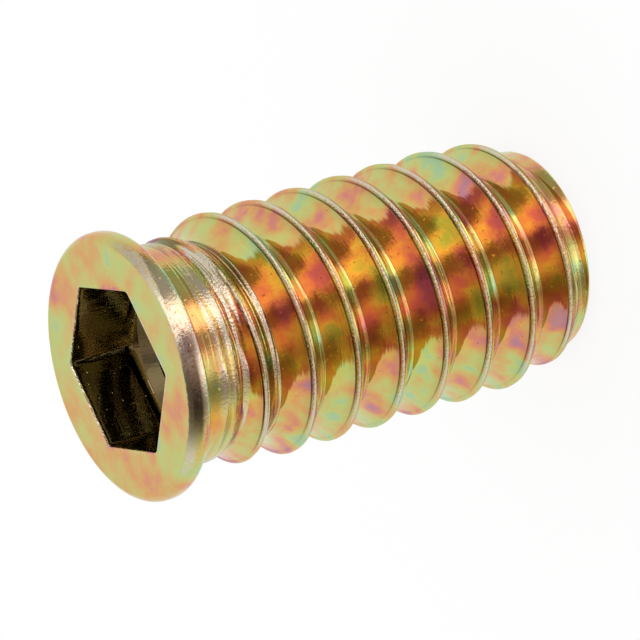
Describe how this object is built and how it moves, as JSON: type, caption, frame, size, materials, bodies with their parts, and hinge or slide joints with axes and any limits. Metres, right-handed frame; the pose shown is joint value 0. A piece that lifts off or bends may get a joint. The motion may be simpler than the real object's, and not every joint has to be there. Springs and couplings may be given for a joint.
{
  "type": "threaded insert",
  "caption": "Flanged threaded insert for wood: hexagon drive socket, coarse outside thread and a machine-thread bore for a bolt.",
  "frame": {"origin": "centre of the flat end of the tail, which the part stands on", "axes": "+Z along the thread axis, from the tail up to the flange; the first crest starts on +X"},
  "size_m": [0.0137, 0.0136, 0.025],
  "materials": {
    "chromated_zinc": "steel with bright zinc plating and an iridescent yellow chromate film"
  },
  "bodies": {
    "root": {"insert": "chromated_zinc"}
  },
  "joints": []
}
